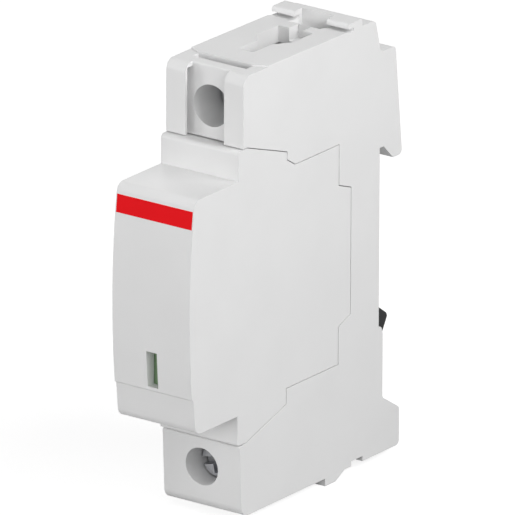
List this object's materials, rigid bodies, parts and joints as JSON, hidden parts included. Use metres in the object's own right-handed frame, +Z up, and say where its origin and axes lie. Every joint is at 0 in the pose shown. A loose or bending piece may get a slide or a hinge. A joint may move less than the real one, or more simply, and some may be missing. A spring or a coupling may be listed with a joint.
{
  "type": "din rail surge arrester",
  "caption": "Narrow rail-mounted surge arrester: C-shaped base with screw terminals, rail hook and sprung latch, and a plug-in cartridge with a curved nose and a status window.",
  "frame": {"origin": "centre of the rail seat: middle of the width, on the face the rail's flanges rest on, at the rail's middle height", "axes": "+X to the right seen from the front, along the rail; +Y to the back, into the rail; +Z up"},
  "size_m": [0.0176, 0.0661, 0.0885],
  "materials": {
    "housing_grey": "fine satin moulding",
    "cartridge_grey": "fine satin moulding",
    "tinned_copper": "dull tin plating",
    "bare_copper": "braided",
    "zinc_steel": "zinc plated",
    "spring_steel": "drawn wire and strip",
    "latch_grey": "satin moulding",
    "varistor_coat": "dipped coating",
    "flag_red": "satin",
    "flag_green": "satin",
    "carriage_ivory": "satin moulding"
  },
  "bodies": {
    "base": {"base_housing": "housing_grey", "base_cover": "housing_grey", "upper_busbar": "tinned_copper", "lower_busbar": "tinned_copper", "upper_jaw": "tinned_copper", "lower_jaw": "tinned_copper", "upper_jaw_clip": "spring_steel", "lower_jaw_clip": "spring_steel", "latch_spring": "spring_steel"},
    "cartridge": {"cartridge_shell": "cartridge_grey", "cartridge_cover": "cartridge_grey", "varistor": "varistor_coat", "tab_electrode": "tinned_copper", "upper_blade": "tinned_copper", "lower_blade": "tinned_copper", "flag_backing": "flag_red", "trip_spring": "spring_steel", "flexible_lead": "bare_copper"},
    "disconnector": {"trip_carriage": "carriage_ivory", "contact_tongue": "tinned_copper", "status_flag": "flag_green"},
    "upper_clamp_screw": {"upper_screw": "zinc_steel"},
    "upper_clamp_cage": {"upper_cage": "zinc_steel"},
    "lower_clamp_screw": {"lower_screw": "zinc_steel"},
    "lower_clamp_cage": {"lower_cage": "zinc_steel"},
    "latch": {"rail_latch": "latch_grey"}
  },
  "joints": [
    {"name": "cartridge_pull", "type": "slide", "parent": "base", "child": "cartridge", "axis": [0, -1, 0], "range_m": [0, 0.045]},
    {"name": "trip_slide", "type": "slide", "parent": "cartridge", "child": "disconnector", "axis": [0, 0, 1], "range_m": [0, 0.0082], "deforming": ["trip_spring", "flexible_lead"]},
    {"name": "upper_screw_turn", "type": "hinge", "parent": "base", "child": "upper_clamp_screw", "pos_m": [0, -0.032, 0.0353], "axis": [0, 1, 0], "range_deg": [0, 2520]},
    {"name": "upper_cage_rise", "type": "slide", "parent": "base", "child": "upper_clamp_cage", "axis": [0, -1, 0], "range_m": [0, 0.0056]},
    {"name": "lower_screw_turn", "type": "hinge", "parent": "base", "child": "lower_clamp_screw", "pos_m": [0, -0.0376, -0.03433], "axis": [0, 1, 0], "range_deg": [0, 2520]},
    {"name": "lower_cage_rise", "type": "slide", "parent": "base", "child": "lower_clamp_cage", "axis": [0, -1, 0], "range_m": [0, 0.0056]},
    {"name": "latch_slide", "type": "slide", "parent": "base", "child": "latch", "axis": [0, 0, -1], "range_m": [0, 0.0034], "stiffness_N_per_m": 1200, "springref_m": -0.004, "deforming": ["latch_spring"]}
  ],
  "couplings": [
    {"joint": "upper_screw_turn", "follows": "upper_cage_rise", "rad_per_m": 7854},
    {"joint": "lower_screw_turn", "follows": "lower_cage_rise", "rad_per_m": 7854}
  ]
}
